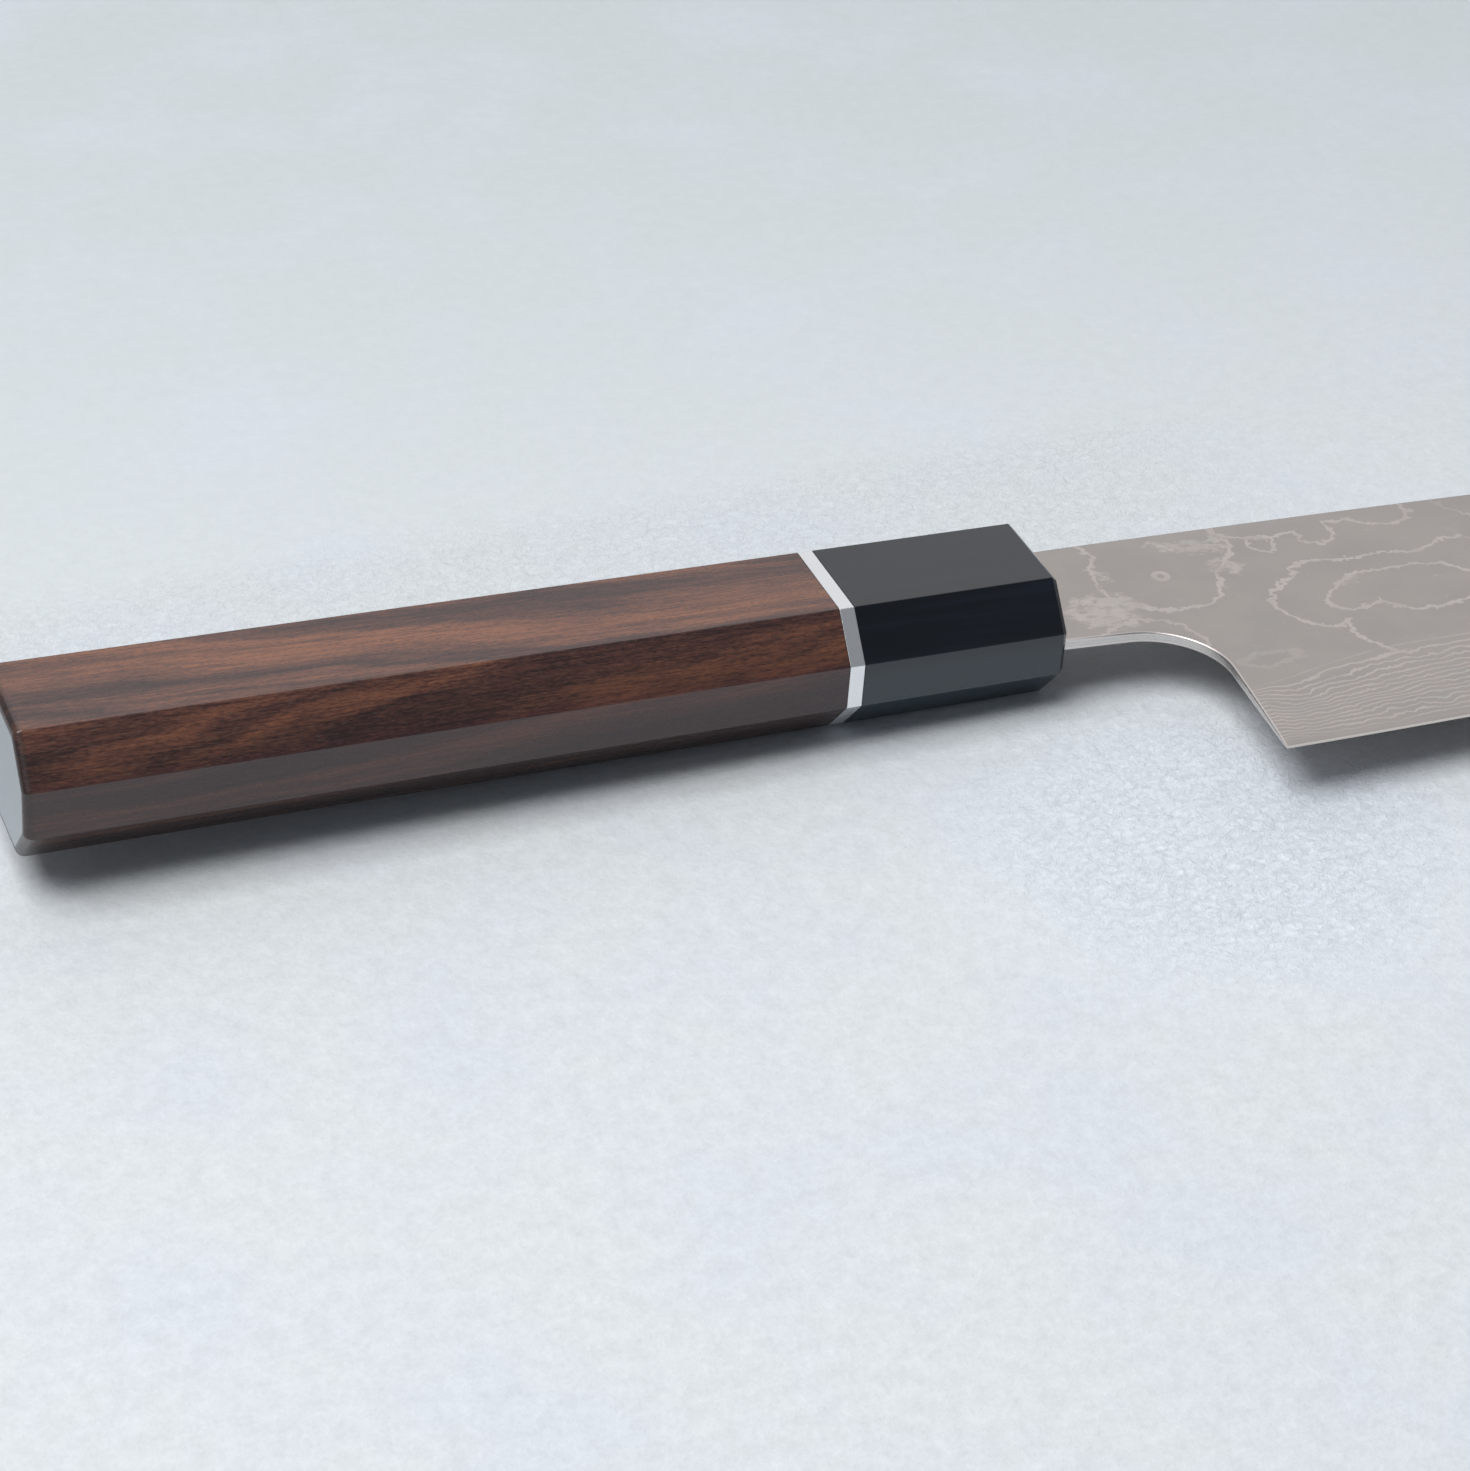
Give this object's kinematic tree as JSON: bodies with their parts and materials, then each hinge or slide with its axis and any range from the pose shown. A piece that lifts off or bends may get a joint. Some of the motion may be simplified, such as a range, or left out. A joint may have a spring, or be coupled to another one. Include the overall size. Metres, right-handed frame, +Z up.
{
  "type": "gyuto knife",
  "caption": "Japanese chef's knife with a damascus-clad blade and an octagonal rosewood handle, for slicing and chopping food.",
  "frame": {"origin": "under the middle of the knife's box, on the surface that it lies on", "axes": "+X from the butt of the handle to the tip of the blade, +Y from the cutting edge to the spine, +Z up from the surface"},
  "size_m": [0.3566, 0.05, 0.0215],
  "materials": {
    "core_steel": "ground and sharpened",
    "damascus_steel": "etched satin, pattern of lighter layer lines",
    "rosewood": "oiled and polished",
    "nickel_silver": "fine satin",
    "black_horn": "polished",
    "dowel_wood": "raw",
    "adhesive": "cured resin"
  },
  "bodies": {
    "root": {"core_steel": "core_steel", "damascus_right": "damascus_steel", "damascus_left": "damascus_steel", "handle_body": "rosewood", "butt_plate": "nickel_silver", "spacer_ring": "nickel_silver", "ferrule": "black_horn", "handle_dowel": "dowel_wood", "tang_adhesive": "adhesive"}
  },
  "joints": []
}
